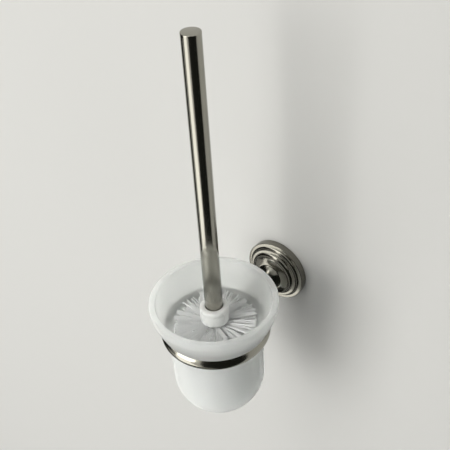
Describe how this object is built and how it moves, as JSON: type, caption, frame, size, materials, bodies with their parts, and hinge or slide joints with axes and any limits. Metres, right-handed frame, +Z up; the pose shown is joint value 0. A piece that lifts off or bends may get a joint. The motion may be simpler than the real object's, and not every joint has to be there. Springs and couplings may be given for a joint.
{
  "type": "toilet brush holder",
  "caption": "Wall-mounted toilet brush holder: stepped round rose, post and ring in satin nickel, frosted glass cup that lifts out, and a white brush with a round rod handle.",
  "frame": {"origin": "centre of the wall rose's back face, on the wall", "axes": "+Z up, along the brush; +Y into the wall, -Y out into the room; +X to the right seen from the room"},
  "size_m": [0.116, 0.1582, 0.3864],
  "materials": {
    "satin_nickel": "fine satin nickel plate, warm, nearly mirror",
    "zinc_steel": "bright zinc plated steel",
    "dark_steel": "blackened steel set screw",
    "brass": "plain turned brass",
    "frosted_glass": "thick clear glass, acid frosted outside and in",
    "white_plastic": "smooth white moulded plastic",
    "white_bristle": "white nylon filament"
  },
  "bodies": {
    "wall_mount": {"wall_bracket": "zinc_steel", "flange": "satin_nickel", "flange_grub_screw": "dark_steel", "post": "satin_nickel", "post_screw": "zinc_steel", "support_ring": "satin_nickel", "ring_screw": "zinc_steel"},
    "cup": {"glass_cup": "frosted_glass"},
    "brush": {"handle_tube": "satin_nickel", "handle_cap": "satin_nickel", "handle_plug": "brass", "handle_stud": "zinc_steel", "collar_ring": "white_plastic", "brush_core": "white_plastic", "bristle_row_1": "white_bristle", "bristle_row_2": "white_bristle", "bristle_row_3": "white_bristle", "bristle_row_4": "white_bristle", "bristle_row_5": "white_bristle", "bristle_row_6": "white_bristle", "bristle_row_7": "white_bristle", "bristle_row_8": "white_bristle"}
  },
  "joints": [
    {"name": "cup_lift", "type": "slide", "parent": "wall_mount", "child": "cup", "axis": [0, 0, 1], "range_m": [0, 0.105]},
    {"name": "brush_lift", "type": "slide", "parent": "cup", "child": "brush", "axis": [0, 0, 1], "range_m": [0, 0.13]}
  ]
}
